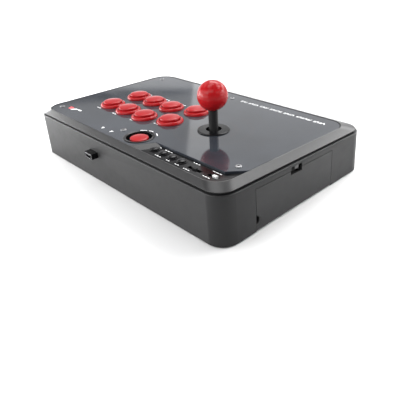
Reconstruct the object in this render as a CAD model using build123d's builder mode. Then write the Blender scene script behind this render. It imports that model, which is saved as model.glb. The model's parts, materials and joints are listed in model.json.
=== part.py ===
"""Arcade joystick panel: a low case with a ball-top stick, eight round buttons and a control strip.

Millimetres. The origin is the centre of the underside, on the surface that the feet stand on.
+X is the player's right, +Y points away from the player and +Z is up. The panel ("deck") rises
gently towards the back, so everything on it is placed in the deck's own plane.
"""

import math
import os

from build123d import *

os.makedirs("parts", exist_ok=True)

# ---------------------------------------------------------------- case
CASE_W = 360.0
CASE_D = 232.0
CASE_R = 20.0
WALL = 3.0
FOOT_PROUD = 1.0
FLOOR_T = 2.5
FLOOR_TOP = FOOT_PROUD + FLOOR_T
LEDGE_Z = 53.6
DECK_Z = 61.4
DECK_RISE = 0.036

# ---------------------------------------------------------------- panel in the deck plane
PANEL_W = 337.0
PANEL_D = 206.0
PANEL_Y = 4.5
PANEL_R = 20.0
ACRYLIC_T = 3.0
PLATE_T = 2.0
POCKET = ACRYLIC_T + PLATE_T
GROOVE_H = 2.4
SHELF_W = 8.0
SHELF_T = 3.4
SKIRT_INSET = 3.4
SKIRT_T = 2.5

# ---------------------------------------------------------------- buttons
BUTTON_PITCH = 36.0
BUTTON_ROWS = 43.5
BUTTON_X = 32.7
BUTTON_Y = 41.4
INDEX_DX = 37.9
INDEX_DY = 10.6
BUTTON_HOLE_R = 15.1
FLANGE_R = 16.65
PLUNGER_R = 12.3
BUTTON_TRAVEL = 3.0
START_AT = (-18.0, 86.0)

# ---------------------------------------------------------------- stick
STICK_AT = (-66.0, 15.0)
BALL_R = 17.5
BALL_HEIGHT = 41.5
PIVOT_DEPTH = 13.0
STICK_HOLE_R = 12.0

# ---------------------------------------------------------------- control strip
STRIP_DEPTH = 2.5
STRIP_FRONT = 82.6
STRIP_BUTTON_Y = 92.5
STRIP_BUTTONS = [-55.5 - 15.1 * k for k in range(4)]
MODE_SLOT = (-124.0, 95.5, 18.8)
POWER_SLOT = (-148.5, 93.5, 14.0)
POWER_KNOB_X = -151.0

# ---------------------------------------------------------------- hatch in the left wall
HATCH_Y = (-54.0, 69.5)
HATCH_GAP = 0.5
HATCH_SEAM = 6.6
HINGE_X = -CASE_W / 2 + 2.6
HINGE_Z = 3.6
HINGE_R = 2.6
NOTCH_AT = (69.0, 13.5)
NOTCH_R = 6.5
FINGER_Y = (-0.7, 17.1)

# ---------------------------------------------------------------- rear port
PORT_AT = (38.75, 37.8)
PORT_W = 16.9
PORT_H = 7.2
PORT_OUT = 8.4

# ---------------------------------------------------------------- fixings
BOSS_SPOTS = [(x, y) for y in (104.5, -101.5) for x in (-163.5, 0.0, 163.5)]
PANEL_SCREWS = [(153.5, 91.5), (153.5, -81.0), (0.5, -82.5), (-154.5, 65.5), (14.0, 85.5)]
PCB_CENTRE = (80.0, 0.0)
PCB_POSTS = [(80.0 + 54.0 * i, 50.0 * j) for i in (-1, 1) for j in (-1, 1)]
PCB_Z = 11.0

# ---------------------------------------------------------------- planes
SLOPE = math.atan(DECK_RISE)
DECK_N = Vector(0, -math.sin(SLOPE), math.cos(SLOPE))
DECK = Plane(origin=(0, 0, DECK_Z), x_dir=(1, 0, 0), z_dir=DECK_N)
LEDGE = Plane(origin=(0, 0, LEDGE_Z), x_dir=(1, 0, 0), z_dir=DECK_N)
BEZEL_BASE = -(DECK_Z - LEDGE_Z) + GROOVE_H
BEZEL_TOP = 0.4
LEFT = -CASE_W / 2
BACK = CASE_D / 2


def deck_at(x, y, height=0.0):
    """The plane parallel to the deck whose origin is over the deck point (x, y)."""
    return Plane(origin=DECK.from_local_coords((x, y, height)), x_dir=(1, 0, 0), z_dir=DECK_N)


def side_at(x, y):
    """The upright plane through (x, y): its first axis is +X and its second the deck's normal."""
    across = Vector(1, 0, 0).cross(DECK_N)
    return Plane(origin=DECK.from_local_coords((x, y, 0)), x_dir=(1, 0, 0), z_dir=across)


def deck_axis(x, y):
    return Axis(DECK.from_local_coords((x, y, 0)), DECK_N)


def turned(x, y, outline, crown=None):
    """A turned solid about the deck's normal at (x, y), from points (radius, height) or (radius, height, rounding).

    With a crown, the outline runs from the axis to the rim, and a shallow dome of that height closes it.
    """
    points = [point[:2] for point in outline]
    rounds = [point[2] if len(point) > 2 else 0 for point in outline]
    with BuildPart() as body:
        with BuildSketch(side_at(x, y)):
            with BuildLine():
                if crown is None:
                    FilletPolyline(*points, radius=rounds, close=True)
                else:
                    rim, height = points[-1]
                    rise = crown - height
                    dome_r = (rim**2 + rise**2) / (2 * rise)
                    middle = (rim / 2, crown - dome_r + math.sqrt(dome_r**2 - rim**2 / 4))
                    FilletPolyline(*points, radius=rounds[1:-1])
                    ThreePointArc(points[-1], middle, (0, crown))
                    Line((0, crown), points[0])
            make_face()
        revolve(axis=deck_axis(x, y))
    return body


def tube(x, y, inner, outer, bottom, top):
    return turned(x, y, [(inner, bottom), (outer, bottom), (outer, top), (inner, top)])


def seam_z(y, drop):
    """Height of a line that runs parallel to the ledge, a given drop below it."""
    return LEDGE_Z + DECK_RISE * y - drop


def on_deck_level(edge, height):
    """True for an edge that lies in the plane a given height over the deck."""
    return all(abs(DECK.to_local_coords(edge @ t).Z - height) < 0.01 for t in (0, 0.5, 1))


def save(part, name):
    part.label = name
    export_step(part, f"parts/{name}.step")


# ================================================================ lower case
with BuildPart() as lower_case:
    with BuildSketch(Plane.XY.offset(FOOT_PROUD)):
        RectangleRounded(CASE_W, CASE_D, CASE_R)
    extrude(amount=CASE_D / 3)
    split(bisect_by=LEDGE, keep=Keep.BOTTOM)
    fillet(lower_case.faces().sort_by(Axis.Z)[-1].edges(), radius=0.9)
    chamfer(lower_case.faces().sort_by(Axis.Z)[0].edges(), length=0.6)
    # the hollow
    with BuildSketch(Plane.XY.offset(FLOOR_TOP)):
        RectangleRounded(CASE_W - 2 * WALL, CASE_D - 2 * WALL, CASE_R - WALL)
    extrude(amount=CASE_D / 3, mode=Mode.SUBTRACT)
    # screw pads and circuit board posts on the floor
    with BuildSketch(Plane.XY.offset(FLOOR_TOP)):
        with Locations(*BOSS_SPOTS):
            Circle(6.0)
    extrude(amount=3.5)
    with BuildSketch(Plane.XY.offset(FLOOR_TOP)):
        with Locations(*PCB_POSTS):
            Circle(3.2)
    extrude(amount=PCB_Z - FLOOR_TOP)
    # counterbores from below, and clearance holes for the base screws
    with BuildSketch(Plane.XY):
        with Locations(*BOSS_SPOTS):
            Circle(3.5)
    extrude(amount=4.0, mode=Mode.SUBTRACT)
    with BuildSketch(Plane.XY):
        with Locations(*BOSS_SPOTS):
            Circle(1.9)
    extrude(amount=8.0, mode=Mode.SUBTRACT)
    # shallow pockets for the rubber feet
    with BuildSketch(Plane.XY):
        with Locations((-150, -85), (150, -85), (-150, 85), (150, 85), (0, 0)):
            Circle(9.2)
    extrude(amount=FOOT_PROUD + 1.0, mode=Mode.SUBTRACT)
    # the hatch opening in the left wall, with its slanting top seam
    with BuildSketch(Plane.YZ.offset(LEFT - 1)):
        with BuildLine():
            Polyline(
                (HATCH_Y[0], 0),
                (HATCH_Y[1], 0),
                (HATCH_Y[1], seam_z(HATCH_Y[1], HATCH_SEAM)),
                (HATCH_Y[0], seam_z(HATCH_Y[0], HATCH_SEAM)),
                close=True,
            )
        make_face()
    extrude(amount=WALL + 1, mode=Mode.SUBTRACT)
    with BuildSketch(Plane.XY):
        with Locations((LEFT + 3.5, sum(HATCH_Y) / 2)):
            Rectangle(7.0, HATCH_Y[1] - HATCH_Y[0])
    extrude(amount=FLOOR_TOP + 1, mode=Mode.SUBTRACT)
    # hinge blocks beside the opening, bored for the hatch pins
    for y in (HATCH_Y[0] - 6.0, HATCH_Y[1]):
        with BuildSketch(Plane.XY.offset(FOOT_PROUD + 1)):
            with Locations((LEFT + 4.0, y + 3.0)):
                Rectangle(5.0, 6.0)
        extrude(amount=6.0)
    with BuildSketch(Plane.XZ.offset(-HATCH_Y[1] - 4.5)):
        with Locations((HINGE_X, HINGE_Z)):
            Circle(1.3)
    extrude(amount=HATCH_Y[1] - HATCH_Y[0] + 9.0, mode=Mode.SUBTRACT)
    # the case's half of the finger hole over the hatch
    with BuildSketch(Plane.YZ.offset(LEFT - 1)):
        with BuildLine():
            Polyline(
                (FINGER_Y[0], seam_z(FINGER_Y[0], HATCH_SEAM + 1)),
                (FINGER_Y[1], seam_z(FINGER_Y[1], HATCH_SEAM + 1)),
                (FINGER_Y[1], seam_z(FINGER_Y[1], 3.0)),
                (FINGER_Y[0], seam_z(FINGER_Y[0], 3.0)),
                close=True,
            )
        make_face()
    extrude(amount=WALL + 1, mode=Mode.SUBTRACT)
    # ribs that guide the hatch latch
    with BuildSketch(Plane.XY.offset(51.3)):
        with Locations((LEFT + WALL + 1.9, 0.7), (LEFT + WALL + 1.9, 15.7)):
            Rectangle(4.2, 1.2)
    extrude(amount=1.3)
    # the window of the rear port
    with BuildSketch(Plane.XZ.offset(-BACK - 1)):
        with Locations(PORT_AT):
            RectangleRounded(PORT_W + 0.4, PORT_H + 0.4, 1.0)
    extrude(amount=WALL + 2, mode=Mode.SUBTRACT)
save(lower_case.part, "lower_case")

# ================================================================ top bezel
with BuildPart() as top_bezel:
    # the sloping band
    with BuildSketch(DECK.offset(BEZEL_BASE)):
        RectangleRounded(CASE_W - 1.8, CASE_D - 1.8, CASE_R - 0.9)
    with BuildSketch(DECK.offset(BEZEL_TOP)):
        with Locations((0, PANEL_Y)):
            RectangleRounded(PANEL_W + 2.4, PANEL_D + 2.4, PANEL_R + 1.2)
    loft(ruled=True)
    fillet(top_bezel.edges().filter_by(lambda e: on_deck_level(e, BEZEL_BASE)), radius=0.25)
    fillet(top_bezel.edges().filter_by(lambda e: on_deck_level(e, BEZEL_TOP)), radius=0.4)
    # the shelf and the skirt that drops inside the lower case
    with BuildSketch(DECK.offset(BEZEL_BASE)):
        RectangleRounded(CASE_W - 2 * SKIRT_INSET, CASE_D - 2 * SKIRT_INSET, CASE_R - SKIRT_INSET)
    extrude(amount=-(POCKET + SHELF_T + BEZEL_BASE))
    with BuildSketch(DECK.offset(BEZEL_BASE)):
        RectangleRounded(CASE_W - 2 * SKIRT_INSET, CASE_D - 2 * SKIRT_INSET, CASE_R - SKIRT_INSET)
        skirt_in = 2 * (SKIRT_INSET + SKIRT_T)
        RectangleRounded(CASE_W - skirt_in, CASE_D - skirt_in, CASE_R - skirt_in / 2, mode=Mode.SUBTRACT)
    extrude(amount=-5.5)
    # the pocket for plate and acrylic, and the large opening inside the shelf
    with BuildSketch(DECK.offset(-POCKET)):
        with Locations((0, PANEL_Y)):
            RectangleRounded(PANEL_W + 0.8, PANEL_D + 0.8, PANEL_R + 0.4)
    extrude(amount=POCKET + 2, mode=Mode.SUBTRACT)
    with BuildSketch(DECK.offset(-16)):
        with Locations((0, PANEL_Y)):
            RectangleRounded(PANEL_W - 2 * SHELF_W, PANEL_D - 2 * SHELF_W, SHELF_W)
        with Locations(START_AT):
            Circle(16.4)
    extrude(amount=14, mode=Mode.SUBTRACT)
    # ears that reach in under the panel screws, with their screw holes
    for x, y in PANEL_SCREWS:
        sideways = abs(x) > 100
        reach_x = math.copysign(PANEL_W / 2 - SHELF_W + 2, x) - x if sideways else 0
        reach_y = 0 if sideways else PANEL_Y + math.copysign(PANEL_D / 2 - SHELF_W + 2, y) - y
        with BuildSketch(DECK.offset(-POCKET)):
            with Locations((x, y)):
                Circle(7.0)
            with Locations((x + reach_x / 2, y + reach_y / 2)):
                Rectangle(abs(reach_x) if sideways else 14.0, 14.0 if sideways else abs(reach_y))
        extrude(amount=-SHELF_T)
    with BuildSketch(DECK.offset(-POCKET + 1)):
        with Locations(*PANEL_SCREWS):
            Circle(1.95)
    extrude(amount=-SHELF_T - 4, mode=Mode.SUBTRACT)
    # bosses down to the screw pads of the lower case
    for x, y in BOSS_SPOTS:
        with BuildSketch(Plane.XY.offset(FLOOR_TOP + 3.8)):
            with Locations((x, y)):
                Circle(4.5)
        extrude(amount=DECK_Z + DECK_RISE * y - POCKET - 1.5 - FLOOR_TOP - 3.8)
        with BuildSketch(Plane.XY.offset(FLOOR_TOP + 3)):
            with Locations((x, y)):
                Circle(1.6)
        extrude(amount=14, mode=Mode.SUBTRACT)
    # room for the hatch latch behind the left wall
    with BuildSketch(Plane.XY.offset(45)):
        with Locations((LEFT + 5, 8.2)):
            Rectangle(5.5, 20)
    extrude(amount=DECK_Z + DECK_RISE * 8.2 - POCKET - SHELF_T - 45, mode=Mode.SUBTRACT)
save(top_bezel.part, "top_bezel")


# ================================================================ panel: steel plate and acrylic cover
def button_spots():
    """Deck positions of the eight buttons: the index column sits nearer to the player."""
    spots = []
    for row in range(2):
        y = BUTTON_Y - row * BUTTON_ROWS
        spots.append((BUTTON_X - INDEX_DX, y - INDEX_DY))
        spots += [(BUTTON_X + BUTTON_PITCH * k, y) for k in range(3)]
    return spots


def strip_outline(gap):
    """Corner points of the strip's notch in the panel, drawn in by a gap."""
    back = PANEL_Y + PANEL_D / 2
    left = -PANEL_W / 2
    return [
        (-30.0 - gap, back + 1),
        (-45.0 - gap, STRIP_FRONT + gap),
        (-153.0, STRIP_FRONT + gap),
        (left - 1, 64.0 + gap),
        (left - 1, back + 1),
    ]


with BuildPart() as panel_plate:
    with BuildSketch(DECK.offset(-POCKET)):
        with Locations((0, PANEL_Y)):
            RectangleRounded(PANEL_W, PANEL_D, PANEL_R)
        with BuildLine():
            Polyline(*strip_outline(0), close=True)
        make_face(mode=Mode.SUBTRACT)
        with Locations(*button_spots()):
            Circle(BUTTON_HOLE_R, mode=Mode.SUBTRACT)
        with Locations(START_AT):
            Circle(15.9, mode=Mode.SUBTRACT)
        with Locations(STICK_AT):
            Circle(STICK_HOLE_R, mode=Mode.SUBTRACT)
        with Locations(*PANEL_SCREWS):
            Circle(2.1, mode=Mode.SUBTRACT)
    extrude(amount=PLATE_T)
    # welded studs for the stick's mount plate
    with BuildSketch(deck_at(*STICK_AT, -POCKET)):
        with GridLocations(76, 40, 2, 2):
            Circle(1.9)
    extrude(amount=-6.5)
save(panel_plate.part, "panel_plate")

with BuildPart() as acrylic_cover:
    with BuildSketch(DECK.offset(-ACRYLIC_T)):
        with Locations((0, PANEL_Y)):
            RectangleRounded(PANEL_W, PANEL_D, PANEL_R)
        with BuildLine():
            Polyline(*strip_outline(0), close=True)
        make_face(mode=Mode.SUBTRACT)
        with Locations(*button_spots()):
            Circle(BUTTON_HOLE_R, mode=Mode.SUBTRACT)
        with Locations(START_AT):
            Circle(15.9, mode=Mode.SUBTRACT)
        with Locations(STICK_AT):
            Circle(STICK_HOLE_R, mode=Mode.SUBTRACT)
        with Locations(*PANEL_SCREWS):
            Circle(2.1, mode=Mode.SUBTRACT)
    extrude(amount=ACRYLIC_T)
    chamfer(acrylic_cover.faces().sort_by(Axis(DECK.origin, DECK_N))[-1].outer_wire().edges(), length=0.4)
save(acrylic_cover.part, "acrylic_cover")

# ================================================================ control strip
RAMP_RUN = 12.0
with BuildPart() as control_strip:
    with BuildSketch(DECK.offset(-POCKET)):
        with BuildLine():
            Polyline(*strip_outline(0.3), close=True)
        make_face()
        with Locations((0, PANEL_Y)):
            RectangleRounded(PANEL_W, PANEL_D, PANEL_R, mode=Mode.INTERSECT)
    extrude(amount=POCKET)
    # the sunken floor, with a ramp up to the deck at its right end
    for height, shift in ((-STRIP_DEPTH, RAMP_RUN), (1.0, -RAMP_RUN * 0.4)):
        with BuildSketch(DECK.offset(height)):
            with BuildLine():
                Polyline(
                    (-29.0 - shift, PANEL_Y + PANEL_D / 2 + 3),
                    (-47.0 - shift, STRIP_FRONT - 3),
                    (-176.0, STRIP_FRONT - 22),
                    (-176.0, PANEL_Y + PANEL_D / 2 + 3),
                    close=True,
                )
            make_face()
    loft(ruled=True, mode=Mode.SUBTRACT)
    # raised rims around the push buttons
    with BuildSketch(DECK.offset(-STRIP_DEPTH)):
        with Locations(*[(x, STRIP_BUTTON_Y) for x in STRIP_BUTTONS]):
            Circle(6.0)
    extrude(amount=0.6)
    with BuildSketch(DECK.offset(-POCKET)):
        with Locations(*[(x, STRIP_BUTTON_Y) for x in STRIP_BUTTONS]):
            Circle(4.85)
    extrude(amount=POCKET, mode=Mode.SUBTRACT)
    # slots of the slide switches
    for x, y, length in (MODE_SLOT, POWER_SLOT):
        with BuildSketch(DECK.offset(-POCKET)):
            with Locations((x, y)):
                Rectangle(length, 4.2)
        extrude(amount=POCKET, mode=Mode.SUBTRACT)
    # posts that carry the strip's circuit board
    with BuildSketch(DECK.offset(-POCKET)):
        with Locations((-62.5, 86.5), (-108.5, 87.0), (-137.5, 87.0)):
            Circle(1.8)
    extrude(amount=-6.0)
save(control_strip.part, "control_strip")

with BuildPart() as strip_pcb:
    with BuildSketch(deck_at(-104.0, 91.5, -11.0)):
        Rectangle(110.0, 15.0)
    extrude(amount=-1.6)
save(strip_pcb.part, "strip_pcb")

with BuildPart() as tact_switches:
    for x in STRIP_BUTTONS:
        with BuildSketch(deck_at(x, STRIP_BUTTON_Y, -11.0)):
            Rectangle(6.0, 6.0)
        extrude(amount=1.5)
        with BuildSketch(deck_at(x, STRIP_BUTTON_Y, -9.5)):
            Circle(1.6)
        extrude(amount=0.5)
save(tact_switches.part, "tact_switches")

with BuildPart() as slide_switch_bodies:
    for x, y, length in (MODE_SLOT, POWER_SLOT):
        with BuildSketch(deck_at(x, y, -11.0)):
            Rectangle(length + 4.5, 6.6)
        extrude(amount=3.4)
save(slide_switch_bodies.part, "slide_switch_bodies")


def slide_knob(name, x, y):
    """A ridged knob over a flange that runs under the strip."""
    with BuildPart() as knob:
        with BuildSketch(deck_at(x, y, -7.3)):
            Rectangle(3.0, 3.0)
        extrude(amount=2.0)
        with BuildSketch(deck_at(x, y, -6.4)):
            Rectangle(7.5, 6.0)
        extrude(amount=1.0)
        with BuildSketch(deck_at(x, y, -5.4)):
            Rectangle(5.0, 3.4)
        extrude(amount=4.6)
        with BuildSketch(deck_at(x, y, -0.8)):
            with GridLocations(1.6, 1, 3, 1):
                Rectangle(0.7, 3.4)
        extrude(amount=-0.6, mode=Mode.SUBTRACT)
    save(knob.part, name)


slide_knob("mode_knob", MODE_SLOT[0], MODE_SLOT[1])
slide_knob("power_knob", POWER_KNOB_X, POWER_SLOT[1])

key_outline = [
    (0, -8.1),
    (1.6, -8.1),
    (1.6, -6.5),
    (5.4, -6.5),
    (5.4, -5.4),
    (4.5, -5.4),
    (4.5, -0.7, 0.7),
    (3.4, -0.4),
]
for number, x in enumerate(STRIP_BUTTONS, 1):
    save(turned(x, STRIP_BUTTON_Y, key_outline, crown=-0.1).part, f"strip_button_{number}")


# ================================================================ large buttons
def button_housing(x, y):
    """Flanged cup with snap tabs and the two lugs that hold its microswitch."""
    shell = [
        (2.6, -20.0),
        (14.9, -20.0, 0.6),
        (14.9, 0.0),
        (FLANGE_R, 0.0),
        (FLANGE_R, 1.6, 2.5),
        (15.3, 3.4, 2.0),
        (13.3, 3.4, 1.1),
        (12.6, 2.2, 1.2),
        (12.6, -3.0),
        (13.5, -3.0),
        (13.5, -18.4),
        (2.6, -18.4),
    ]
    with BuildPart() as housing:
        add(turned(x, y, shell).part)
        with BuildSketch(deck_at(x, y, -20.0)):
            with GridLocations(1, 8.4, 1, 2):
                Rectangle(10.0, 1.8)
        extrude(amount=-9.0)
        with BuildSketch(deck_at(x, y, -8.6)):
            with GridLocations(29.2, 1, 2, 1):
                Rectangle(1.8, 5.0)
        extrude(amount=3.2)
    return housing


def button_plunger(x, y):
    """Crowned cap with a retaining lip inside the housing and a centre stem."""
    cap = [
        (0, -19.8),
        (2.0, -19.8, 0.7),
        (2.0, 4.4),
        (10.8, 4.4),
        (10.8, -5.2),
        (13.2, -5.2),
        (13.2, -3.3),
        (PLUNGER_R, -3.3),
        (PLUNGER_R, 5.8, 1.3),
        (10.6, 6.3),
    ]
    return turned(x, y, cap, crown=7.0)


for number, (x, y) in enumerate(button_spots(), 1):
    save(button_housing(x, y).part, f"button_housing_{number}")
    save(button_plunger(x, y).part, f"button_plunger_{number}")

# ================================================================ start button in its guard ring
START_SINK = 6.0
guard = [
    (12.6, -START_SINK - 1.5),
    (15.6, -START_SINK - 1.5),
    (15.6, 0.0),
    (18.4, 0.0),
    (18.4, 0.5, 0.3),
    (17.3, 0.9, 0.5),
    (15.1, 0.4, 0.4),
    (15.1, -START_SINK),
    (12.6, -START_SINK),
]
save(turned(*START_AT, guard).part, "start_guard_ring")

start_shell = [
    (2.6, -24.0),
    (12.4, -24.0, 0.6),
    (12.4, -START_SINK),
    (13.7, -START_SINK),
    (13.7, -4.5, 0.9),
    (12.2, -3.5, 0.7),
    (11.1, -3.9, 0.3),
    (11.1, -8.0),
    (11.6, -8.0),
    (11.6, -22.4),
    (2.6, -22.4),
]
with BuildPart() as start_housing:
    add(turned(*START_AT, start_shell).part)
    with BuildSketch(deck_at(*START_AT, -24.0)):
        with GridLocations(1, 8.4, 1, 2):
            Rectangle(10.0, 1.8)
    extrude(amount=-8.0)
save(start_housing.part, "start_housing")

start_cap = [
    (0, -23.8),
    (2.0, -23.8, 0.7),
    (2.0, -2.2),
    (9.3, -2.2),
    (9.3, -10.0),
    (11.3, -10.0),
    (11.3, -8.3),
    (10.8, -8.3),
    (10.8, -0.4, 1.1),
    (9.3, 0.0),
]
save(turned(*START_AT, start_cap, crown=0.6).part, "start_plunger")

# ================================================================ microswitches of the nine large buttons
SWITCH_SPOTS = [(x, y, -20.0) for x, y in button_spots()] + [(*START_AT, -24.0)]
with BuildPart() as button_microswitches:
    for x, y, top in SWITCH_SPOTS:
        with BuildSketch(deck_at(x, y, top - 3.5)):
            Rectangle(20.0, 6.4)
        extrude(amount=-9.5)
        with BuildSketch(deck_at(x, y, top - 3.5)):
            Circle(1.3)
        extrude(amount=0.45)
        with BuildSketch(deck_at(x, y, top - 13.0)):
            with GridLocations(14, 1, 2, 1):
                Rectangle(0.8, 4.8)
        extrude(amount=-5.0)
save(button_microswitches.part, "button_microswitches")

# ================================================================ stick: fixed parts under the panel
MOUNT_T = 1.6
BODY_TOP = -POCKET - MOUNT_T
BODY_W = 62.0
BODY_BOTTOM = -24.0
GATE_TOP = -34.4
PIVOT = -PIVOT_DEPTH
with BuildPart() as stick_mount_plate:
    with BuildSketch(deck_at(*STICK_AT, -POCKET)):
        RectangleRounded(88.0, 53.0, 3.0)
        Circle(STICK_HOLE_R, mode=Mode.SUBTRACT)
        with GridLocations(76, 40, 2, 2):
            Circle(2.1, mode=Mode.SUBTRACT)
    extrude(amount=-MOUNT_T)
save(stick_mount_plate.part, "stick_mount_plate")

with BuildPart() as stick_mount_nuts:
    with BuildSketch(deck_at(*STICK_AT, BODY_TOP)):
        with GridLocations(76, 40, 2, 2):
            RegularPolygon(3.8, 6)
            Circle(2.0, mode=Mode.SUBTRACT)
    extrude(amount=-3.2)
save(stick_mount_nuts.part, "stick_mount_nuts")

with BuildPart() as stick_housing:
    with BuildSketch(deck_at(*STICK_AT, BODY_TOP)):
        RectangleRounded(BODY_W, 52.0, 4.0)
    extrude(amount=BODY_BOTTOM - BODY_TOP)
    with BuildSketch(deck_at(*STICK_AT, BODY_BOTTOM)):
        RectangleRounded(BODY_W, BODY_W, 4.0)
    extrude(amount=4.0)
    with BuildSketch(deck_at(*STICK_AT, BODY_TOP)):
        Circle(15.0)
    extrude(amount=-15.4, mode=Mode.SUBTRACT)
    with BuildSketch(deck_at(*STICK_AT, BODY_BOTTOM)):
        Circle(10.2)
    extrude(amount=3.0, mode=Mode.SUBTRACT)
    # bearings of the gimbal's trunnions
    with BuildSketch(Plane(origin=DECK.from_local_coords((STICK_AT[0] - 18.4, STICK_AT[1], PIVOT)), z_dir=(1, 0, 0))):
        Circle(2.05)
    extrude(amount=36.8, mode=Mode.SUBTRACT)
    # corner legs for the gate
    with BuildSketch(deck_at(*STICK_AT, BODY_BOTTOM)):
        with GridLocations(53, 53, 2, 2):
            Rectangle(8.5, 8.5)
    extrude(amount=GATE_TOP - BODY_BOTTOM)
save(stick_housing.part, "stick_housing")

with BuildPart() as restrictor_gate:
    with BuildSketch(deck_at(*STICK_AT, GATE_TOP)):
        RectangleRounded(BODY_W, BODY_W, 4.0)
        RectangleRounded(25.0, 25.0, 6.5, mode=Mode.SUBTRACT)
    extrude(amount=-3.0)
save(restrictor_gate.part, "restrictor_gate")

with BuildPart() as stick_microswitches:
    for turn in range(4):
        across = Vector(1, 0, 0).rotate(Axis.Z, 90 * turn)
        middle = (STICK_AT[0] + across.X * 16.6, STICK_AT[1] + across.Y * 16.6)
        tip = (STICK_AT[0] + across.X * 12.9, STICK_AT[1] + across.Y * 12.9)
        long_x = 6.4 if turn % 2 == 0 else 20.0
        long_y = 20.0 if turn % 2 == 0 else 6.4
        with BuildSketch(deck_at(*middle, BODY_BOTTOM)):
            Rectangle(long_x, long_y)
        extrude(amount=-10.0)
        with BuildSketch(deck_at(*tip, -31.0)):
            Rectangle(1.2, 1.2)
        extrude(amount=2.0)
save(stick_microswitches.part, "stick_microswitches")

dust_washer = turned(*STICK_AT, [(9.1, 0.0), (18.9, 0.0), (18.9, 1.1, 0.5), (17.8, 1.5, 0.6), (9.1, 1.7, 0.3)])
save(dust_washer.part, "dust_washer")

# ================================================================ stick: moving parts
with BuildPart() as pivot_gimbal:
    with BuildSketch(deck_at(*STICK_AT, PIVOT - 3.0)):
        Circle(13.0)
        Circle(9.6, mode=Mode.SUBTRACT)
    extrude(amount=6.0)
    for side in (-1, 1):
        start = DECK.from_local_coords((STICK_AT[0] + side * 12.4, STICK_AT[1], PIVOT))
        with BuildSketch(Plane(origin=start, z_dir=(side, 0, 0))):
            Circle(2.0)
        extrude(amount=5.4)
    along_y = DECK.from_local_coords((STICK_AT[0], STICK_AT[1] - 14.0, PIVOT))
    with BuildSketch(Plane(origin=along_y, z_dir=(0, math.cos(SLOPE), math.sin(SLOPE)))):
        Circle(1.85)
    extrude(amount=28.0, mode=Mode.SUBTRACT)
save(pivot_gimbal.part, "pivot_gimbal")

shaft_outline = [
    (0, -41.5),
    (4.3, -41.5),
    (4.75, -41.0),
    (4.75, -39.5),
    (3.9, -39.5),
    (3.9, -38.6),
    (4.75, -38.6),
    (4.75, PIVOT - 3.0),
    (7.0, PIVOT - 3.0),
    (7.0, PIVOT + 3.0),
    (4.75, PIVOT + 3.0),
    (4.75, 24.9),
    (2.97, 24.9),
    (2.97, 35.0),
    (0, 35.0),
]
with BuildPart() as stick_shaft:
    add(turned(*STICK_AT, shaft_outline).part)
    pin_start = DECK.from_local_coords((STICK_AT[0], STICK_AT[1] - 12.2, PIVOT))
    with BuildSketch(Plane(origin=pin_start, z_dir=(0, math.cos(SLOPE), math.sin(SLOPE)))):
        Circle(1.8)
    extrude(amount=24.4)
save(stick_shaft.part, "stick_shaft")

save(tube(*STICK_AT, 4.9, 5.5, -4.0, 24.8).part, "shaft_cover")

with BuildPart() as ball_top:
    with Locations(deck_at(*STICK_AT, BALL_HEIGHT)):
        Sphere(BALL_R)
    split(bisect_by=deck_at(*STICK_AT, BALL_HEIGHT - math.sqrt(BALL_R**2 - 6.0**2)), keep=Keep.TOP)
    with BuildSketch(deck_at(*STICK_AT, 20.0)):
        Circle(3.0)
    extrude(amount=16.0, mode=Mode.SUBTRACT)
save(ball_top.part, "ball_top")

actuator_outline = [(4.85, -38.5), (8.5, -38.5, 0.4), (8.5, -27.9, 0.6), (7.6, -27.3), (4.85, -27.3)]
save(turned(*STICK_AT, actuator_outline).part, "stick_actuator")

with BuildPart() as e_clip:
    with BuildSketch(deck_at(*STICK_AT, -39.4)):
        Circle(7.6)
        Circle(4.0, mode=Mode.SUBTRACT)
        with Locations((6, 0)):
            Rectangle(8, 6.4, mode=Mode.SUBTRACT)
    extrude(amount=0.7)
save(e_clip.part, "e_clip")

# the centring spring: a coil around the shaft between hub and actuator
SPRING_R = 6.2
with BuildPart() as stick_spring:
    with BuildLine(deck_at(*STICK_AT, -26.4)):
        coil = Helix(pitch=1.9, height=9.5, radius=SPRING_R, direction=DECK_N)
    with BuildSketch(Plane(origin=coil @ 0, z_dir=coil % 0)):
        Circle(0.6)
    sweep(is_frenet=True)
save(stick_spring.part, "stick_spring")

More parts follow.
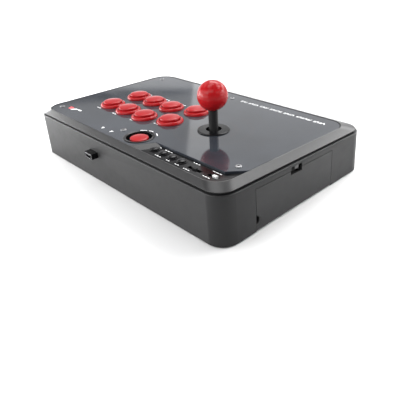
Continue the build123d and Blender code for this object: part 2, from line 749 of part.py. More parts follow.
# ================================================================ cable compartment: tray, hatch, latch
TRAY_X = (LEFT + 3.4, -131.0)
TRAY_Y = (-52.6, 67.6)
TRAY_Z = (6.9, 44.5)
TRAY_WALL = 1.6
with BuildPart() as cable_tray:
    with BuildSketch(Plane.XY.offset(TRAY_Z[0])):
        with Locations((sum(TRAY_X) / 2, sum(TRAY_Y) / 2)):
            Rectangle(TRAY_X[1] - TRAY_X[0], TRAY_Y[1] - TRAY_Y[0])
    extrude(amount=TRAY_Z[1] - TRAY_Z[0])
    with BuildSketch(Plane.XY.offset(TRAY_Z[0] + TRAY_WALL)):
        with Locations((sum(TRAY_X) / 2 - TRAY_WALL, sum(TRAY_Y) / 2)):
            Rectangle(TRAY_X[1] - TRAY_X[0], TRAY_Y[1] - TRAY_Y[0] - 2 * TRAY_WALL)
    extrude(amount=TRAY_Z[1] - TRAY_Z[0] - 2 * TRAY_WALL, mode=Mode.SUBTRACT)
    # clearance for the hatch's catch
    with BuildSketch(Plane.XY.offset(40)):
        with Locations((TRAY_X[0] + 2, 8.2)):
            Rectangle(6.0, 12.0)
    extrude(amount=5, mode=Mode.SUBTRACT)
    # the gap in the end wall through which the cable reaches the outlet
    with BuildSketch(Plane.XY.offset(8.5)):
        with Locations((TRAY_X[0] + 4, TRAY_Y[1] - 1)):
            Rectangle(8.6, 8.0)
    extrude(amount=11.5, mode=Mode.SUBTRACT)
    # the gland through which the cable comes from the circuit board
    with BuildSketch(Plane.YZ.offset(TRAY_X[1] - 3)):
        with Locations((30.0, 16.0)):
            Circle(3.0)
    extrude(amount=5, mode=Mode.SUBTRACT)
    # legs down to the floor
    with BuildSketch(Plane.XY.offset(FLOOR_TOP)):
        with Locations((TRAY_X[1] - 4, TRAY_Y[0] + 6), (TRAY_X[1] - 4, TRAY_Y[1] - 6), (-166, TRAY_Y[0] + 6)):
            Circle(3.0)
        with Locations((-166, TRAY_Y[1] - 6)):
            Circle(3.0)
    extrude(amount=TRAY_Z[0] - FLOOR_TOP)
save(cable_tray.part, "cable_tray")

DOOR_Y = (HATCH_Y[0] + HATCH_GAP, HATCH_Y[1] - HATCH_GAP)
DOOR_DROP = HATCH_SEAM + HATCH_GAP
with BuildPart() as hatch_door:
    with BuildSketch(Plane.YZ.offset(LEFT)):
        with BuildLine():
            Polyline(
                (DOOR_Y[0], HINGE_Z),
                (DOOR_Y[1], HINGE_Z),
                (DOOR_Y[1], seam_z(DOOR_Y[1], DOOR_DROP)),
                (DOOR_Y[0], seam_z(DOOR_Y[0], DOOR_DROP)),
                close=True,
            )
        make_face()
    extrude(amount=WALL)
    # the rounded hinge edge along the bottom
    with BuildSketch(Plane.XZ.offset(-DOOR_Y[1])):
        with Locations((HINGE_X, HINGE_Z)):
            Circle(HINGE_R)
    extrude(amount=DOOR_Y[1] - DOOR_Y[0])
    with BuildSketch(Plane.XZ.offset(-DOOR_Y[1])):
        with Locations((HINGE_X, HINGE_Z)):
            Circle(1.28)
    extrude(amount=DOOR_Y[1] - DOOR_Y[0], mode=Mode.SUBTRACT)
    # the door's half of the finger hole
    with BuildSketch(Plane.YZ.offset(LEFT - 1)):
        with BuildLine():
            Polyline(
                (FINGER_Y[0], seam_z(FINGER_Y[0], 11.4)),
                (FINGER_Y[1], seam_z(FINGER_Y[1], 11.4)),
                (FINGER_Y[1], seam_z(FINGER_Y[1], 5.0)),
                (FINGER_Y[0], seam_z(FINGER_Y[0], 5.0)),
                close=True,
            )
        make_face()
    extrude(amount=WALL + 2, mode=Mode.SUBTRACT)
    # the half-round cable notch in the back edge
    with BuildSketch(Plane.YZ.offset(LEFT - 1)):
        with Locations(NOTCH_AT):
            Circle(NOTCH_R)
    extrude(amount=WALL + 2, mode=Mode.SUBTRACT)
    # the catch that stands up behind the finger hole
    with BuildSketch(Plane.XY.offset(38.5)):
        with Locations((LEFT + WALL + 0.4 + 1.5, 8.2)):
            Rectangle(3.8, 9.0)
    extrude(amount=3.5)
    with BuildSketch(Plane.XY.offset(42.0)):
        with Locations((LEFT + WALL + 3.0, 8.2)):
            Rectangle(1.6, 9.0)
    extrude(amount=4.4)
save(hatch_door.part, "hatch_door")

with BuildPart() as hatch_pins:
    for near, far in ((HATCH_Y[0] - 4.2, DOOR_Y[0] + 8.0), (DOOR_Y[1] - 8.0, HATCH_Y[1] + 4.2)):
        with BuildSketch(Plane.XZ.offset(-far)):
            with Locations((HINGE_X, HINGE_Z)):
                Circle(1.25)
        extrude(amount=far - near)
save(hatch_pins.part, "hatch_pins")

with BuildPart() as cable_grommet:
    with BuildSketch(Plane.YZ.offset(LEFT + 0.2)):
        with Locations(NOTCH_AT):
            Circle(NOTCH_R)
        with Locations((NOTCH_AT[0] + 0.6, NOTCH_AT[1] + 1.0)):
            Circle(NOTCH_R - 1.7, mode=Mode.SUBTRACT)
        with Locations((NOTCH_AT[0] + 10.0, NOTCH_AT[1])):
            Rectangle(20.0, 20.0, mode=Mode.SUBTRACT)
    extrude(amount=WALL - 0.4)
save(cable_grommet.part, "cable_grommet")

LATCH_BOTTOM = 46.9
LATCH_Y = 7.25
with BuildPart() as hatch_latch:
    # the tab that hangs in the finger hole
    with BuildSketch(Plane.XY.offset(LATCH_BOTTOM)):
        with Locations((LEFT + 2.5, LATCH_Y)):
            Rectangle(3.8, 6.1)
    extrude(amount=3.5)
    # the wider root behind the wall
    with BuildSketch(Plane.XY.offset(48.9)):
        with Locations((LEFT + WALL + 1.1, 8.2)):
            Rectangle(1.4, 13.0)
    extrude(amount=3.5)
save(hatch_latch.part, "hatch_latch")

# ================================================================ rear port
with BuildPart() as rear_port_housing:
    with BuildSketch(Plane.XZ.offset(-BACK + WALL + 0.5)):
        with Locations(PORT_AT):
            RectangleRounded(PORT_W, PORT_H, 0.8)
    extrude(amount=-(PORT_OUT + WALL + 0.5))
    fillet(rear_port_housing.faces().sort_by(Axis.Y)[-1].edges(), radius=0.35)
    # the flange that holds it behind the wall
    with BuildSketch(Plane.XZ.offset(-BACK + WALL + 0.2)):
        with Locations(PORT_AT):
            Rectangle(30.0, 15.0)
    extrude(amount=2.2)
    with BuildSketch(Plane.XZ.offset(-BACK - PORT_OUT)):
        with Locations(PORT_AT):
            Rectangle(13.2, 5.7)
    extrude(amount=12.0, mode=Mode.SUBTRACT)
save(rear_port_housing.part, "rear_port_housing")

with BuildPart() as usb_shell:
    with BuildSketch(Plane.XZ.offset(-BACK - PORT_OUT)):
        with Locations(PORT_AT):
            Rectangle(13.1, 5.6)
            Rectangle(12.5, 5.0, mode=Mode.SUBTRACT)
    extrude(amount=12.0)
save(usb_shell.part, "usb_shell")

with BuildPart() as usb_tongue:
    with BuildSketch(Plane.XZ.offset(-BACK - PORT_OUT + 1.0)):
        with Locations((PORT_AT[0], PORT_AT[1] + 1.2)):
            Rectangle(11.0, 1.8)
    extrude(amount=11.0)
    with BuildSketch(Plane.XZ.offset(-BACK - PORT_OUT + 9.5)):
        with Locations(PORT_AT):
            Rectangle(12.4, 4.9)
    extrude(amount=2.5)
save(usb_tongue.part, "usb_tongue")

# ================================================================ weight plate and main circuit board
with BuildPart() as weight_plate:
    with BuildSketch(Plane.XY.offset(FLOOR_TOP)):
        with Locations((15.0, 0)):
            RectangleRounded(250.0, 176.0, 6.0)
        with Locations(*PCB_POSTS):
            Circle(4.5, mode=Mode.SUBTRACT)
    extrude(amount=2.0)
save(weight_plate.part, "weight_plate")

with BuildPart() as main_pcb:
    with BuildSketch(Plane.XY.offset(PCB_Z)):
        with Locations(PCB_CENTRE):
            RectangleRounded(120.0, 112.0, 3.0)
    extrude(amount=1.6)
    # packages of the controller and its connectors
    with BuildSketch(Plane.XY.offset(PCB_Z + 1.6)):
        with Locations((75.0, 5.0)):
            Rectangle(14.0, 14.0)
        with Locations((110.0, 30.0), (110.0, -30.0), (50.0, 30.0)):
            Rectangle(22.0, 6.0)
    extrude(amount=3.0)
save(main_pcb.part, "main_pcb")


# ================================================================ fixings and feet
screw_outline = [
    (0, -POCKET - SHELF_T),
    (1.85, -POCKET - SHELF_T),
    (1.85, 0),
    (3.5, 0),
    (3.5, 0.6, 0.4),
    (2.9, 0.9),
]
with BuildPart() as panel_screws:
    for x, y in PANEL_SCREWS:
        add(turned(x, y, screw_outline, crown=1.2).part)
        with BuildSketch(deck_at(x, y, 1.3)):
            RegularPolygon(1.4, 6)
        extrude(amount=-1.0, mode=Mode.SUBTRACT)
save(panel_screws.part, "panel_screws")

with BuildPart() as base_screws:
    with BuildSketch(Plane.XY.offset(FOOT_PROUD + 0.5)):
        with Locations(*BOSS_SPOTS):
            Circle(3.1)
    extrude(amount=2.5)
    with BuildSketch(Plane.XY.offset(FOOT_PROUD + 3)):
        with Locations(*BOSS_SPOTS):
            Circle(1.55)
    extrude(amount=14.0)
    with BuildSketch(Plane.XY.offset(FOOT_PROUD + 0.5)):
        with Locations(*BOSS_SPOTS):
            Rectangle(3.6, 0.8)
            Rectangle(0.8, 3.6)
    extrude(amount=1.2, mode=Mode.SUBTRACT)
save(base_screws.part, "base_screws")

with BuildPart() as rubber_feet:
    with BuildSketch(Plane.XY):
        with Locations((-150, -85), (150, -85), (-150, 85), (150, 85), (0, 0)):
            Circle(9.0)
    extrude(amount=FOOT_PROUD + 1.0)
    chamfer(rubber_feet.faces().group_by(Axis.Z)[0].edges(), length=0.4)
save(rubber_feet.part, "rubber_feet")
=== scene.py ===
"""Looks of the arcade joystick panel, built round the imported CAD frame.

Metres, +Z up, +X the player's right, the player at -Y. The deck slopes up towards the back.
"""

import json
import math

import bmesh
import bpy
from mathutils import Matrix, Vector


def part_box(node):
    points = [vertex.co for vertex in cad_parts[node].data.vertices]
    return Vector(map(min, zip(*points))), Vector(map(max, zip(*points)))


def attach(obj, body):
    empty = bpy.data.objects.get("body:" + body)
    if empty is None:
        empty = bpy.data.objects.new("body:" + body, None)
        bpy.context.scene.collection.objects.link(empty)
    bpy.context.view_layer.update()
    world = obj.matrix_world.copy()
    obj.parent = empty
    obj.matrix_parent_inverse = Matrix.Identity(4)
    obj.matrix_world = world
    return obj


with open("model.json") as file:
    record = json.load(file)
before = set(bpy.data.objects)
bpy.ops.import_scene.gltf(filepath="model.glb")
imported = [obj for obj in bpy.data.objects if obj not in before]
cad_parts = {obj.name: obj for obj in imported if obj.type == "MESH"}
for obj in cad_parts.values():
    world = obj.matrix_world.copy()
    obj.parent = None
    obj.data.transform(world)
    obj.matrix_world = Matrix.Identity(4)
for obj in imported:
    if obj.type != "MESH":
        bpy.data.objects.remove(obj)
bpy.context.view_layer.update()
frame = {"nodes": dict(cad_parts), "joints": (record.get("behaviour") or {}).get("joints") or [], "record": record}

MM = 0.001

# ---------------------------------------------------------------- the deck's own axes, read from the frame
JOINTS = {joint["name"]: joint for joint in frame["joints"]}
# a button travels straight into the deck
DECK_N = -Vector(JOINTS["button_1_press"]["axis"]).normalized()
DECK_X = Vector((1, 0, 0))
DECK_Y = DECK_N.cross(DECK_X).normalized()
# the acrylic's highest point is its back edge, and the front edge lies lower by the slope
PANEL_LOW, PANEL_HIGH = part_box("acrylic_cover")
DECK_RISE = (PANEL_HIGH.y - PANEL_LOW.y) * -DECK_N.y / DECK_N.z
DECK_FRONT = Vector((0, PANEL_LOW.y, PANEL_HIGH.z - DECK_RISE))


def deck_height(x, y):
    """Height of the acrylic's top face over the point (x, y)."""
    return DECK_FRONT.z - (y - DECK_FRONT.y) * DECK_N.y / DECK_N.z


def deck_matrix(x, y, height=0.0):
    """A matrix whose origin is on the deck over (x, y) and whose Z axis is the deck's normal."""
    origin = Vector((x, y, deck_height(x, y))) + DECK_N * height
    turn = Matrix((DECK_X, DECK_Y, DECK_N)).transposed().to_4x4()
    return Matrix.Translation(origin) @ turn


def centre(node):
    low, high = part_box(node)
    return (low + high) / 2


# ---------------------------------------------------------------- node materials
# noise scales, in features per metre
CLOUDS = 35.0
SMUDGES = 90.0
DUST = 120.0
RUBBER_GRAIN = 2500.0
# pointiness is 0.5 on a flat face and more on a convex edge
EDGE_FROM, EDGE_TO = 0.52, 0.60


def new_material(name):
    material = bpy.data.materials.new(name)
    material.use_nodes = True
    tree = material.node_tree
    shader = tree.nodes["Principled BSDF"]
    return material, tree, shader


def add_node(tree, kind, **settings):
    node = tree.nodes.new(kind)
    for key, value in settings.items():
        setattr(node, key, value)
    return node


def noise(tree, scale, detail=3.0, roughness=0.5, stretch=None):
    """Noise in the object's own metres, optionally stretched along an axis."""
    coords = add_node(tree, "ShaderNodeTexCoord")
    mapping = add_node(tree, "ShaderNodeMapping")
    if stretch:
        mapping.inputs["Scale"].default_value = stretch
    texture = add_node(tree, "ShaderNodeTexNoise")
    texture.inputs["Scale"].default_value = scale
    texture.inputs["Detail"].default_value = detail
    texture.inputs["Roughness"].default_value = roughness
    tree.links.new(coords.outputs["Object"], mapping.inputs["Vector"])
    tree.links.new(mapping.outputs["Vector"], texture.inputs["Vector"])
    return texture.outputs["Fac"]


def remap(tree, value, low, high, from_low=0.3, from_high=0.7):
    """Stretches a value to low..high. The default range is where most of a noise texture lies."""
    node = add_node(tree, "ShaderNodeMapRange")
    node.inputs["From Min"].default_value = from_low
    node.inputs["From Max"].default_value = from_high
    node.inputs["To Min"].default_value = low
    node.inputs["To Max"].default_value = high
    tree.links.new(value, node.inputs["Value"])
    return node.outputs["Result"]


def blend_colours(tree, factor, first, second):
    """Mixes two colours, each a tuple or a socket."""
    node = add_node(tree, "ShaderNodeMix", data_type="RGBA")
    # sockets 6 and 7 are the colour pair A and B of a mix node, and output 2 is its colour
    for socket, colour in ((node.inputs[6], first), (node.inputs[7], second)):
        if isinstance(colour, tuple):
            socket.default_value = (*colour, 1.0)
        else:
            tree.links.new(colour, socket)
    tree.links.new(factor, node.inputs[0])
    return node.outputs[2]


def shade(colour, factor):
    return tuple(min(1.0, channel * factor) for channel in colour)


def bump(tree, shader, height, strength, distance):
    node = add_node(tree, "ShaderNodeBump")
    node.inputs["Strength"].default_value = strength
    node.inputs["Distance"].default_value = distance
    tree.links.new(height, node.inputs["Height"])
    tree.links.new(node.outputs["Normal"], shader.inputs["Normal"])


def worn_and_highlit_edges(tree, colour, worn_and_lit_edge_colour, amount):
    """Lightens the convex edges a little: partly wear from handling, partly a painted highlight where the edges
    catch light.
    """
    geometry = add_node(tree, "ShaderNodeNewGeometry")
    mask = remap(tree, geometry.outputs["Pointiness"], 0.0, amount, EDGE_FROM, EDGE_TO)
    return blend_colours(tree, mask, colour, worn_and_lit_edge_colour)


def plastic(name, colour, rough=0.3, grain=0.15, grain_size=0.5, patchy=0.12, ior=1.5, edge_wear_and_highlight=0.25):
    """Moulded plastic: cloudy colour, smudged gloss, fine mould grain (grain_size in mm), paler edges that are
    partly wear and partly a painted highlight.
    """
    material, tree, shader = new_material(name)
    clouds = remap(tree, noise(tree, CLOUDS, 4.0), 0.0, 1.0)
    body = blend_colours(tree, clouds, shade(colour, 1 - patchy), shade(colour, 1 + patchy))
    # the paler edge colour is partly wear and partly a painted highlight along the edges
    worn_and_lit_colour = tuple(0.75 * channel + 0.06 for channel in colour)
    body = worn_and_highlit_edges(tree, body, worn_and_lit_colour, edge_wear_and_highlight)
    tree.links.new(body, shader.inputs["Base Color"])
    smudges = noise(tree, SMUDGES, 6.0, 0.65)
    tree.links.new(remap(tree, smudges, rough * 0.92, rough * 1.1), shader.inputs["Roughness"])
    shader.inputs["IOR"].default_value = ior
    mould = noise(tree, 1.0 / (grain_size * MM), 2.0)
    bump(tree, shader, mould, grain, 0.02 * MM)
    return material


def metal(name, colour, rough=0.25, brushed=0.3, stretch=(1.0, 60.0, 60.0)):
    """Plated or brushed metal with fine lines and faint tarnish."""
    material, tree, shader = new_material(name)
    clouds = noise(tree, 60.0, 4.0)
    body = blend_colours(tree, remap(tree, clouds, 0.0, 1.0), shade(colour, 0.85), shade(colour, 1.05))
    tree.links.new(body, shader.inputs["Base Color"])
    shader.inputs["Metallic"].default_value = 1.0
    lines = noise(tree, 60.0, 5.0, 0.7, stretch)
    tree.links.new(remap(tree, lines, rough * 0.7, rough * 1.4), shader.inputs["Roughness"])
    bump(tree, shader, lines, brushed, 0.01 * MM)
    return material


def rubber(name, colour):
    """Matt rubber with pale dust on it."""
    material, tree, shader = new_material(name)
    dust = noise(tree, DUST, 6.0, 0.7)
    body = blend_colours(tree, remap(tree, dust, 0.0, 0.5), colour, shade(colour, 2.2))
    tree.links.new(body, shader.inputs["Base Color"])
    tree.links.new(remap(tree, dust, 0.6, 0.85), shader.inputs["Roughness"])
    bump(tree, shader, noise(tree, RUBBER_GRAIN, 2.0), 0.3, 0.03 * MM)
    return material


def circuit_board(name):
    """Green solder mask with faint copper tracks under it."""
    material, tree, shader = new_material(name)
    coords = add_node(tree, "ShaderNodeTexCoord")
    tracks = add_node(tree, "ShaderNodeTexBrick")
    tracks.inputs["Scale"].default_value = 160.0
    tracks.inputs["Mortar Size"].default_value = 0.03
    tracks.inputs["Color1"].default_value = (0.010, 0.11, 0.045, 1)
    tracks.inputs["Color2"].default_value = (0.014, 0.14, 0.055, 1)
    tracks.inputs["Mortar"].default_value = (0.03, 0.22, 0.09, 1)
    tree.links.new(coords.outputs["Object"], tracks.inputs["Vector"])
    tree.links.new(tracks.outputs["Color"], shader.inputs["Base Color"])
    tree.links.new(remap(tree, noise(tree, 200.0), 0.22, 0.4), shader.inputs["Roughness"])
    bump(tree, shader, tracks.outputs["Fac"], 0.2, 0.03 * MM)
    return material


PANEL_INK = (0.022, 0.025, 0.031)
RING_INK = (0.034, 0.029, 0.031)
# half the distance from one ring to the next, how far a ring's soft edge reaches,
# and where the rings fade out
RING_HALF_PITCH = 9 * MM
RING_EDGE = (7.4 * MM, 8.2 * MM)
RING_FADE = (30 * MM, 75 * MM)
ACRYLIC_IOR = 1.49


def faint_rings(tree, middle):
    """A mask of rings round a point, strongest next to it."""
    coords = add_node(tree, "ShaderNodeTexCoord")
    shift = add_node(tree, "ShaderNodeVectorMath", operation="SUBTRACT")
    shift.inputs[1].default_value = middle
    reach = add_node(tree, "ShaderNodeVectorMath", operation="LENGTH")
    tree.links.new(coords.outputs["Object"], shift.inputs[0])
    tree.links.new(shift.outputs["Vector"], reach.inputs[0])
    rings = add_node(tree, "ShaderNodeMath", operation="PINGPONG")
    tree.links.new(reach.outputs["Value"], rings.inputs[0])
    rings.inputs[1].default_value = RING_HALF_PITCH
    ring_mask = remap(tree, rings.outputs["Value"], 0.0, 0.5, *RING_EDGE)
    fade = remap(tree, reach.outputs["Value"], 1.0, 0.0, *RING_FADE)
    faded = add_node(tree, "ShaderNodeMath", operation="MULTIPLY")
    tree.links.new(ring_mask, faded.inputs[0])
    tree.links.new(fade, faded.inputs[1])
    return faded.outputs["Value"]


def printed_acrylic(name):
    """Clear acrylic over a dark printed sheet: the base is the print, the gloss is the acrylic."""
    material, tree, shader = new_material(name)
    clouds = remap(tree, noise(tree, 9.0, 5.0, 0.6), 0.0, 1.0)
    base = blend_colours(tree, clouds, shade(PANEL_INK, 0.7), shade(PANEL_INK, 1.5))
    base = blend_colours(tree, faint_rings(tree, centre("dust_washer")), base, RING_INK)
    tree.links.new(base, shader.inputs["Base Color"])
    shader.inputs["IOR"].default_value = ACRYLIC_IOR
    wipes = noise(tree, 14.0, 5.0, 0.6, (1.0, 3.0, 1.0))
    tree.links.new(remap(tree, wipes, 0.05, 0.09), shader.inputs["Roughness"])
    bump(tree, shader, noise(tree, 7.0, 2.0), 0.25, 0.05 * MM)
    return material


def floor_material(name):
    """Matt, very faintly cloudy paper."""
    material, tree, shader = new_material(name)
    paper = remap(tree, noise(tree, 3.0, 4.0), 0.0, 1.0)
    base = blend_colours(tree, paper, (0.57, 0.57, 0.57), (0.59, 0.59, 0.59))
    tree.links.new(base, shader.inputs["Base Color"])
    shader.inputs["Roughness"].default_value = 0.9
    shader.inputs["Specular IOR Level"].default_value = 0.1
    return material


# an ior under real plastic's 1.5 gives the weaker gloss that the photograph shows on the moulded pieces
BLACK = (0.005, 0.005, 0.0055)
DEEP_BLACK = (0.004, 0.004, 0.0045)
BEZEL_BLACK = (0.008, 0.008, 0.0085)
INNER_BLACK = (0.02, 0.02, 0.022)
TRAY_BLACK = (0.022, 0.022, 0.023)
PAINTED_BLACK = (0.012, 0.012, 0.013)
RUBBER_BLACK = (0.012, 0.012, 0.012)
RED = (0.27, 0.006, 0.008)
PALE_GREY = (0.62, 0.62, 0.62)

MATERIALS = {
    "case_plastic": plastic("case_plastic", BLACK, rough=0.45, grain=0.06, grain_size=0.6, ior=1.35),
    "bezel_plastic": plastic("bezel_plastic", BEZEL_BLACK, rough=0.33, grain=0.06, grain_size=0.6, ior=1.42),
    "panel_art": printed_acrylic("panel_art"),
    "black_plastic": plastic("black_plastic", DEEP_BLACK, rough=0.2, grain=0.03, ior=1.22),
    "inner_plastic": plastic("inner_plastic", INNER_BLACK, rough=0.45),
    "tray_plastic": plastic("tray_plastic", TRAY_BLACK, rough=0.45),
    "red_plastic": plastic("red_plastic", RED, rough=0.19, grain=0.02, patchy=0.03, ior=1.25, edge_wear_and_highlight=0.0),
    "strip_plastic": plastic("strip_plastic", BLACK, rough=0.14, grain=0.04, grain_size=0.8, ior=1.2),
    "knob_plastic": plastic("knob_plastic", PALE_GREY, rough=0.35),
    "plate_steel": plastic("plate_steel", PAINTED_BLACK, rough=0.4, grain=0.4, grain_size=0.3),
    "bright_steel": metal("bright_steel", (0.62, 0.62, 0.63)),
    "screw_steel": metal("screw_steel", (0.2, 0.2, 0.205), rough=0.4),
    "circuit_board": circuit_board("circuit_board"),
    "foot_rubber": rubber("foot_rubber", RUBBER_BLACK),
    "connector_metal": metal("connector_metal", (0.6, 0.6, 0.62), rough=0.22),
}
SLOTS = {part["node"]: part["material_slot"] for part in frame["record"]["subparts"]}


def paint(obj, material):
    obj.data.materials.clear()
    obj.data.materials.append(material)


for node, obj in frame["nodes"].items():
    paint(obj, MATERIALS[SLOTS[node]])

# ---------------------------------------------------------------- printed marks: generic dashes and shapes
# thickness of the ink, how deep its underside sits in the surface, and the strip's floor under the deck
PRINT_T = 0.05 * MM
PRINT_SINK = 0.01 * MM
STRIP_FLOOR = -2.5 * MM
DASH_GAP = 0.9
END_STEPS = 6
ARC_STEPS = 12


def bar(length, width, x=0.0, y=0.0):
    """A round-ended dash, as corner points."""
    radius = width / 2
    points = []
    for end, start in ((1, -90), (-1, 90)):
        for step in range(END_STEPS + 1):
            angle = math.radians(start + 180 / END_STEPS * step)
            along = end * (length / 2 - radius) + radius * math.cos(angle)
            points.append((x + along, y + radius * math.sin(angle)))
    return points


def arc(inner, outer, start, end):
    """A piece of a ring between two angles in degrees."""
    angles = [math.radians(start + (end - start) * step / ARC_STEPS) for step in range(ARC_STEPS + 1)]
    points = [(outer * math.cos(a), outer * math.sin(a)) for a in angles]
    return points + [(inner * math.cos(a), inner * math.sin(a)) for a in reversed(angles)]


def print_marks(name, marks, material, height=0.0):
    """One thin mesh of flat shapes laid on the deck: marks holds (x, y, turn in degrees, outline), in mm."""
    mesh = bpy.data.meshes.new(name)
    body = bmesh.new()
    for x, y, turn, outline in marks:
        placed = deck_matrix(x * MM, y * MM, height - PRINT_SINK)
        placed = placed @ Matrix.Rotation(math.radians(turn), 4, "Z")
        lower = [body.verts.new(placed @ Vector((px * MM, py * MM, 0))) for px, py in outline]
        face = body.faces.new(lower)
        upper = bmesh.ops.extrude_face_region(body, geom=[face])["geom"]
        raised = [item for item in upper if isinstance(item, bmesh.types.BMVert)]
        bmesh.ops.translate(body, verts=raised, vec=DECK_N * (PRINT_T + PRINT_SINK))
    bmesh.ops.recalc_face_normals(body, faces=body.faces)
    body.to_mesh(mesh)
    body.free()
    obj = bpy.data.objects.new(name, mesh)
    bpy.context.scene.collection.objects.link(obj)
    paint(obj, material)
    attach(obj, "case")


def dashes(labels, width):
    """Short rows of dashes: labels holds (x, y, lengths), with each row centred on (x, y)."""
    marks = []
    for x, y, lengths in labels:
        reach = -(sum(lengths) + DASH_GAP * (len(lengths) - 1)) / 2
        for length in lengths:
            marks.append((x, y, 0.0, bar(length, width, reach + length / 2)))
            reach += length + DASH_GAP
    return marks


def pictograms(places):
    """A stem with a flag at each (x, y, side), with the flag on that side."""
    marks = []
    for x, y, side in places:
        marks.append((x, y, 0, bar(4.6, 1.0, 0, -1.4)))
        marks.append((x, y, 0, [(-1.6 * side, -0.6), (1.6 * side, -0.6), (-1.2 * side, 2.6)]))
    return marks


def front_ticks(start_x, y, groups):
    """A band of slanting ticks in groups, which runs to the left along the front edge."""
    marks = []
    x = start_x
    for group in groups:
        for step in range(group):
            marks.append((x, y, (90, 66, 114)[step % 3], bar(4.8, 1.0)))
            x -= 2.75
        x -= 3.0
    return marks


# places on the panel in the frame's mm, each beside the button that it belongs to
BUTTON_LABELS = (
    (110.0, 60.3, (2.2, 1.6, 2.2)),
    (73.2, 60.2, (3.4, 3.8)),
    (36.3, 59.6, (1.6, 2.2)),
    (1.8, 47.0, (2.4, 1.2, 2.8)),
    (102.5, -19.4, (2.2, 1.6, 2.2)),
    (63.5, -20.6, (3.2, 3.8)),
    (28.4, -20.2, (2.4, 2.4)),
)
# one row of labels behind the strip's keys and slides, and one in front of them
STRIP_LABELS = (
    (-71.0, 100.3, (2.6, 3.6, 2.0)),
    (-87.6, 100.3, (2.2, 2.4)),
    (-102.0, 100.3, (2.6, 2.8)),
    (-117.6, 101.0, (2.6, 3.0, 1.8)),
    (-144.5, 99.0, (2.8, 3.6, 1.6)),
    (-55.5, 85.2, (2.4, 2.0)),
    (-70.5, 85.2, (3.0, 4.4, 3.2)),
    (-116.0, 85.4, (3.0, 3.2, 2.0)),
    (-146.0, 85.8, (3.2, 3.8, 3.4)),
)
PICTOGRAMS = ((40.6, 98.0, 1), (21.2, 98.0, -1))
START_BUTTON = (-18.0, 86.0)
START_ARCS = ((-62, -40), (-88, -70), (-128, -108))
START_ARC_RADII = (20.0, 21.3)
# a chevron, a bar and a red wedge fill the far right corner
CORNER_AT = (130.5, 86.5)
CHEVRON = [(-6, -3.2), (-1, -3.2), (5.5, 3.2), (0.5, 3.2)]
CORNER_BAR_AT = (120.0, 84.0)
WEDGE_AT = (139.5, 86.5)
WEDGE = [(-4.5, -3.2), (4.0, -3.2), (1.5, 3.2), (-2.0, 3.2)]

white_ink = plastic("white_ink", (0.78, 0.78, 0.78), rough=0.4, grain=0.1, edge_wear_and_highlight=0.0)
red_ink = plastic("red_ink", (0.50, 0.02, 0.03), rough=0.4, grain=0.1, edge_wear_and_highlight=0.0)

panel_marks = dashes(BUTTON_LABELS, width=1.7)
panel_marks += pictograms(PICTOGRAMS)
panel_marks += [(*START_BUTTON, 0, arc(*START_ARC_RADII, start, end)) for start, end in START_ARCS]
panel_marks += front_ticks(-18.0, -82.2, groups=(4, 6, 5, 7, 6, 8, 6))
panel_marks.append((*CORNER_AT, 0, CHEVRON))
panel_marks.append((*CORNER_BAR_AT, 0, bar(8.0, 2.6)))
print_marks("panel_prints", panel_marks, white_ink)
print_marks("corner_print", [(*WEDGE_AT, 0, WEDGE)], red_ink)
print_marks("strip_prints", dashes(STRIP_LABELS, width=0.9), white_ink, height=STRIP_FLOOR)

# ---------------------------------------------------------------- stage: floor, lights, camera
STUDIO_RADIUS = 2.2
FLOOR_RADIUS = 2.1


def softbox(name, azimuth, elevation, distance, width, height, radiance):
    """A rectangular lamp that faces the object, with its glow set as radiance."""
    lamp = bpy.data.lights.new(name, "AREA")
    lamp.shape = "RECTANGLE"
    lamp.size = width
    lamp.size_y = height
    lamp.energy = radiance * math.pi * width * height
    obj = bpy.data.objects.new(name, lamp)
    turn, lift = math.radians(azimuth), math.radians(elevation)
    direction = Vector((math.cos(turn) * math.cos(lift), math.sin(turn) * math.cos(lift), math.sin(lift)))
    obj.location = direction * distance
    obj.rotation_euler = direction.to_track_quat("Z", "Y").to_euler()
    bpy.context.scene.collection.objects.link(obj)
    return obj


def make_floor():
    mesh = bpy.data.meshes.new("floor")
    body = bmesh.new()
    bmesh.ops.create_circle(body, cap_ends=True, segments=64, radius=FLOOR_RADIUS)
    body.to_mesh(mesh)
    body.free()
    obj = bpy.data.objects.new("floor", mesh)
    bpy.context.scene.collection.objects.link(obj)
    paint(obj, floor_material("floor_paper"))


# name, azimuth from +X towards +Y and elevation in degrees, width and height in metres, radiance
SOFTBOXES = (
    ("low_right_back", 44, 8, 2.2, 0.62, 12.0),
    ("right_back", 74, 25, 2.1, 0.62, 2.2),
    ("low_back", 92, 8, 1.05, 0.62, 3.5),
    ("front_right_key", 300, 50, 1.47, 0.87, 8.6),
    ("front_low", 268, 25, 1.2, 0.62, 6.6),
    ("front_left_key", 243, 52, 1.05, 0.7, 9.0),
    ("front_left_low", 240, 25, 1.05, 0.62, 2.8),
    ("back_fill", 120, 50, 1.47, 0.87, 3.1),
    ("top", 0, 80, 1.47, 0.87, 5.2),
    ("low_left_front", 225, 8, 2.2, 0.62, 3.4),
    ("low_right", 0, 8, 1.1, 0.62, 2.05),
    ("low_right_front", 315, 8, 2.2, 0.62, 1.0),
    ("right_front", 302, 25, 1.3, 0.75, 1.0),
    ("right_front_edge", 330, 25, 1.05, 0.62, 0.6),
    ("right_side", 356, 25, 1.1, 0.62, 0.5),
    ("right_fill", 0, 50, 1.47, 0.87, 1.4),
)
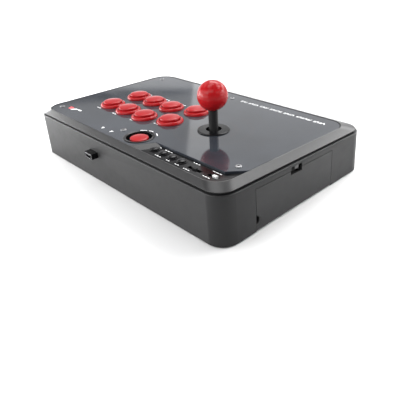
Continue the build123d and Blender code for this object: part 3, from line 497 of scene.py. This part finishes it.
# small lamps that look straight down and brighten the floor: name, x, y, height, side, radiance
FLOOR_LAMPS = (
    ("floor_glow_back", 0.35, 0.48, 0.40, 0.30, 3.0),
    ("floor_glow_left", -0.38, -0.36, 0.25, 0.30, 9.0),
    ("floor_glow_near", 0.0, 0.50, 0.40, 0.35, 4.2),
    ("floor_glow_right", 1.3, 0.70, 0.50, 0.70, 4.2),
    ("floor_glow_side", -0.60, -0.10, 0.40, 0.35, 2.1),
    ("floor_glow_far", 0.56, 0.20, 0.14, 0.35, 16.0),
)
# the world: a pale wall round the studio, from WALL_TOP fading to the dim ceiling at CEILING_FROM, as sines
# of the elevation
WALL_GLOW, CEILING_GLOW = 0.85, 0.12
WALL_TOP, CEILING_FROM = 0.08, 0.24
WORLD_TINT = (0.94, 0.96, 1.0, 1.0)


def make_world():
    world = bpy.data.worlds.new("studio")
    world.use_nodes = True
    tree = world.node_tree
    coords = add_node(tree, "ShaderNodeTexCoord")
    parts = add_node(tree, "ShaderNodeSeparateXYZ")
    tree.links.new(coords.outputs["Generated"], parts.inputs[0])
    glow = remap(tree, parts.outputs["Z"], WALL_GLOW, CEILING_GLOW, WALL_TOP, CEILING_FROM)
    background = tree.nodes["Background"]
    tree.links.new(glow, background.inputs["Strength"])
    background.inputs["Color"].default_value = WORLD_TINT
    bpy.context.scene.world = world


# found by fitting a camera to the photograph
CAMERA_PLACE = (-0.4583, 0.3683, 0.2835)
CAMERA_TURN = (63.473, 4.173, -132.039)
CAMERA_LENS = 44.588
CAMERA_SENSOR = 36.0
CAMERA_SHIFT = -0.0925


def make_camera():
    data = bpy.data.cameras.new("camera")
    data.lens = CAMERA_LENS
    data.sensor_width = CAMERA_SENSOR
    data.shift_y = CAMERA_SHIFT
    data.clip_start = 0.01
    camera = bpy.data.objects.new("camera", data)
    camera.location = CAMERA_PLACE
    camera.rotation_euler = [math.radians(angle) for angle in CAMERA_TURN]
    bpy.context.scene.collection.objects.link(camera)
    bpy.context.scene.camera = camera


make_floor()
for name, azimuth, elevation, width, height, radiance in SOFTBOXES:
    softbox(name, azimuth, elevation, STUDIO_RADIUS, width, height, radiance)
for name, x, y, height, side, radiance in FLOOR_LAMPS:
    lamp = softbox(name, 0, 90, height, side, side, radiance)
    lamp.location = (x, y, height)
make_world()
make_camera()
bpy.context.scene.view_settings.view_transform = "Standard"
